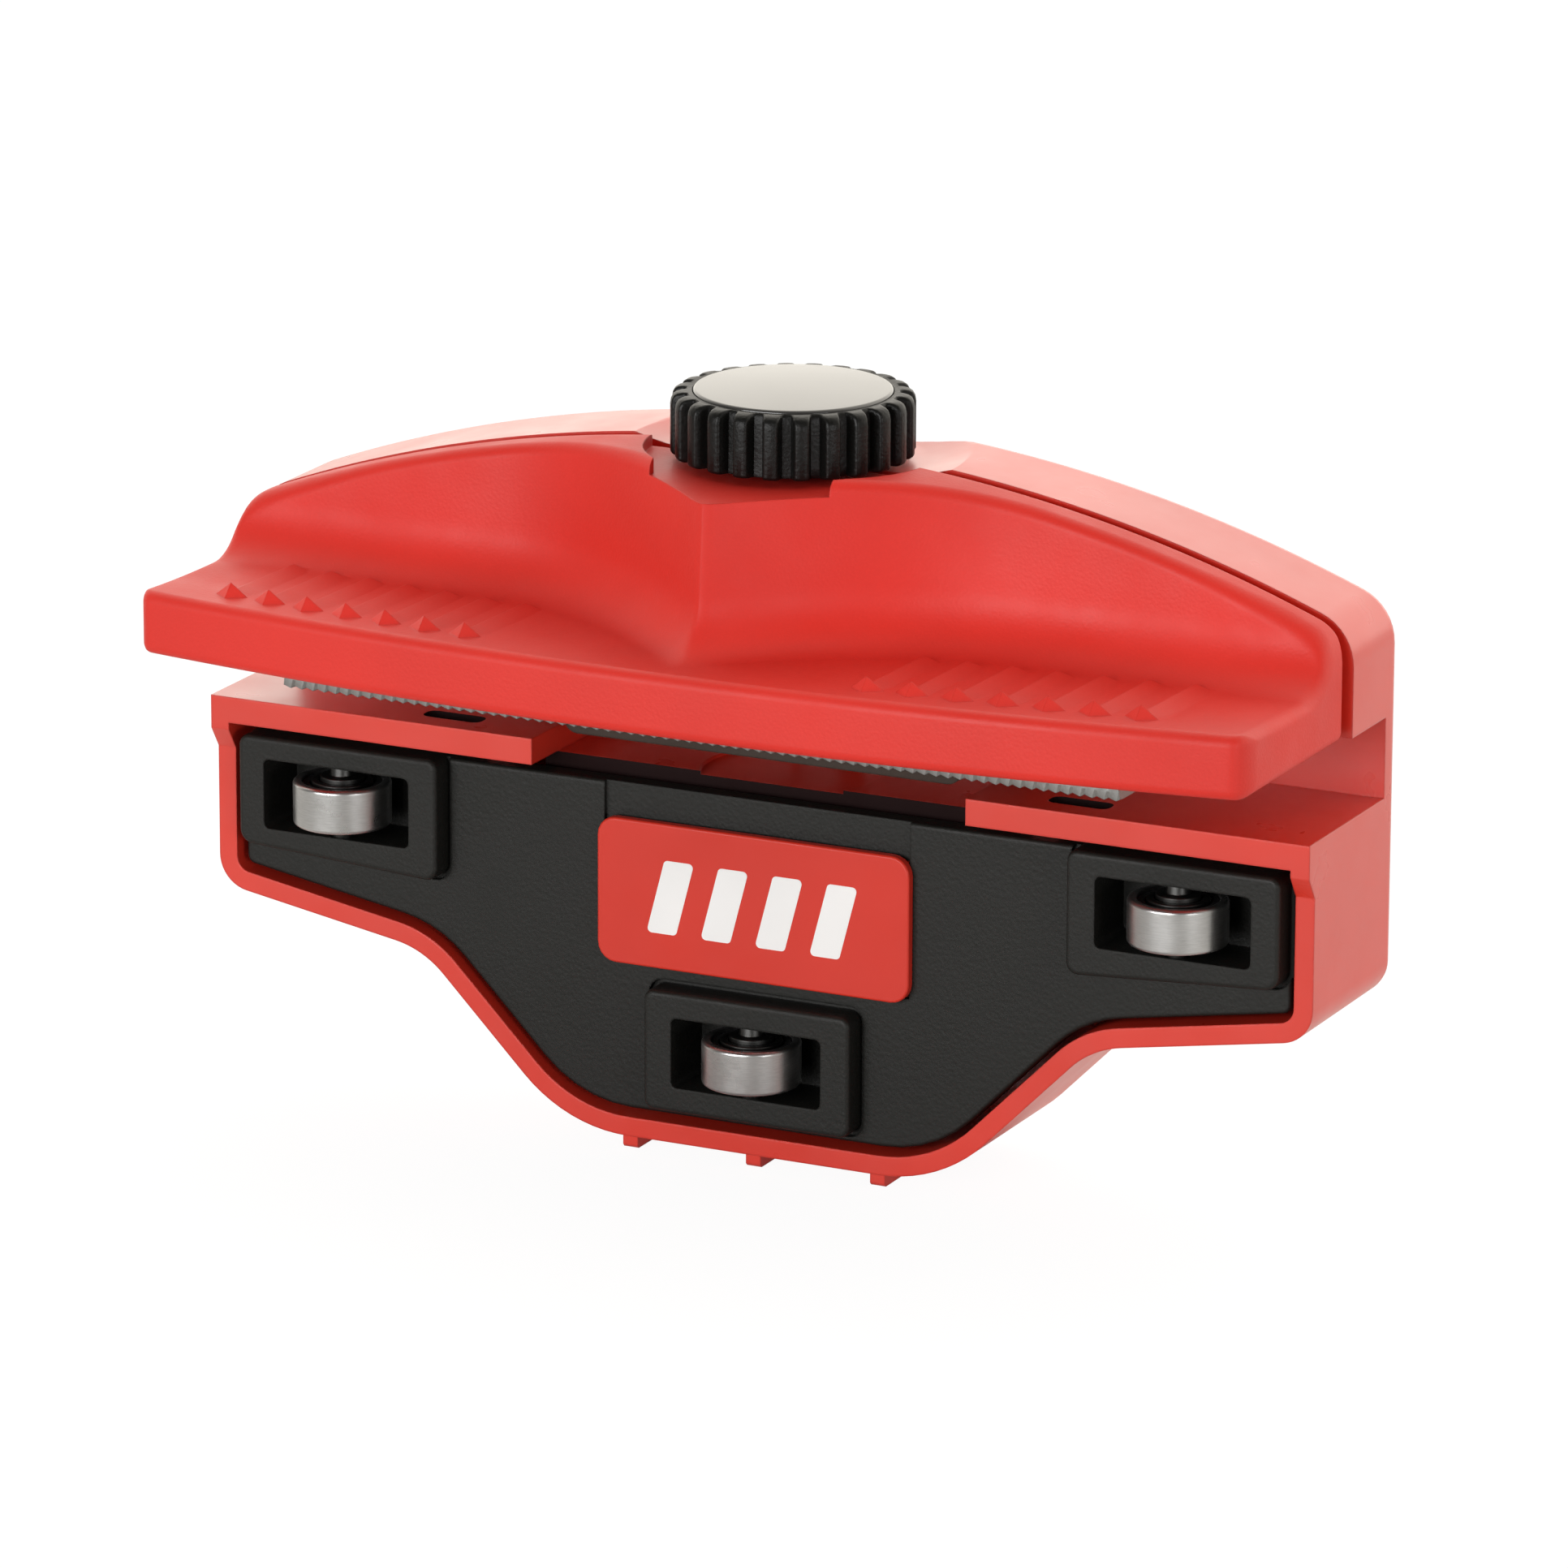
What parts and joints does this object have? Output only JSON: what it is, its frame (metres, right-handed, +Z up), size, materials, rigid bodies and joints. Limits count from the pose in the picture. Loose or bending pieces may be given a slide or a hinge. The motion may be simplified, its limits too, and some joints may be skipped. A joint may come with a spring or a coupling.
{
  "type": "ski edge tuning tool",
  "caption": "Hand-held side edge tuner: file clamped under an arched grip, roller guide plate below, clamp knob on top.",
  "frame": {"origin": "centre of the footprint at the lowest point, the tips of the three feet", "axes": "+X along the file, +Y towards the back of the tool, +Z up through the knob"},
  "size_m": [0.1326, 0.0472, 0.0862],
  "materials": {
    "red_body": "semi-gloss moulded",
    "red_grip": "fine spark-eroded texture",
    "black_plastic": "matt, fine grain",
    "gloss_cap": "high gloss",
    "steel": "ground",
    "dark_steel": "black oxide",
    "file_steel": "cut teeth, matt",
    "brass": "machined",
    "rubber_seal": "matt",
    "brown_pad": "matt, grainy",
    "zinc": null
  },
  "bodies": {
    "frame": {"body_shell": "red_body", "front_grip": "red_grip", "grip_screw_outer_left": "dark_steel", "grip_screw_inner_left": "dark_steel", "grip_screw_inner_right": "dark_steel", "grip_screw_outer_right": "dark_steel", "thrust_washer": "steel", "spring_washer": "steel", "release_spring": "steel", "pivot_pin_left": "steel", "pivot_pin_right": "steel", "detent_ball": "steel"},
    "clamp_knob": {"knob": "black_plastic", "knob_cap": "gloss_cap", "knob_insert": "brass", "clamp_screw": "steel", "retaining_clip": "dark_steel"},
    "jaw": {"clamp_jaw": "zinc", "jaw_nut": "brass", "jaw_pad": "brown_pad"},
    "file": {"file_blade": "file_steel"},
    "guide_plate": {"roller_plate": "black_plastic", "label_plate": "red_body", "bearing_inner_left": "steel", "bearing_inner_right": "steel", "bearing_inner_bottom": "steel", "roller_pin_left": "steel", "roller_pin_right": "steel", "roller_pin_bottom": "steel", "trunnion_nut": "brass"},
    "left_roller": {"roller_ring_left": "steel", "roller_seal_upper_left": "rubber_seal", "roller_seal_lower_left": "rubber_seal"},
    "right_roller": {"roller_ring_right": "steel", "roller_seal_upper_right": "rubber_seal", "roller_seal_lower_right": "rubber_seal"},
    "bottom_roller": {"roller_ring_bottom": "steel", "roller_seal_upper_bottom": "rubber_seal", "roller_seal_lower_bottom": "rubber_seal"},
    "dial": {"angle_dial": "black_plastic", "angle_screw": "steel", "dial_clip": "dark_steel", "dial_screw": "dark_steel"}
  },
  "joints": [
    {"name": "knob_turn", "type": "hinge", "parent": "frame", "child": "clamp_knob", "pos_m": [0, 0.01025, 0.0788], "axis": [0, 0, 1], "range_deg": [0, 900]},
    {"name": "jaw_drop", "type": "slide", "parent": "frame", "child": "jaw", "axis": [0, 0, -1], "range_m": [-0.00001, 0.00201], "deforming": ["release_spring"]},
    {"name": "file_shift", "type": "slide", "parent": "frame", "child": "file", "axis": [1, 0, 0], "range_m": [-0.015, 0.015]},
    {"name": "dial_turn", "type": "hinge", "parent": "frame", "child": "dial", "pos_m": [0, 0.02285, 0.027], "axis": [0, 1, 0], "range_deg": [0, 515]},
    {"name": "plate_tilt", "type": "hinge", "parent": "frame", "child": "guide_plate", "pos_m": [0, 0.00745, 0.0385], "axis": [-1, 0, 0], "range_deg": [-0.01, 5]},
    {"name": "left_roller_spin", "type": "hinge", "parent": "guide_plate", "child": "left_roller", "pos_m": [-0.0506, 0.00045, 0.0354], "axis": [0, 0, 1], "continuous": true},
    {"name": "right_roller_spin", "type": "hinge", "parent": "guide_plate", "child": "right_roller", "pos_m": [0.0506, 0.00045, 0.0354], "axis": [0, 0, 1], "continuous": true},
    {"name": "bottom_roller_spin", "type": "hinge", "parent": "guide_plate", "child": "bottom_roller", "pos_m": [0, 0.00045, 0.0124], "axis": [0, 0, 1], "continuous": true}
  ],
  "couplings": [
    {"joint": "jaw_drop", "follows": "knob_turn", "m_per_rad": 0.00012732},
    {"joint": "plate_tilt", "follows": "dial_turn", "ratio": 0.0097}
  ]
}
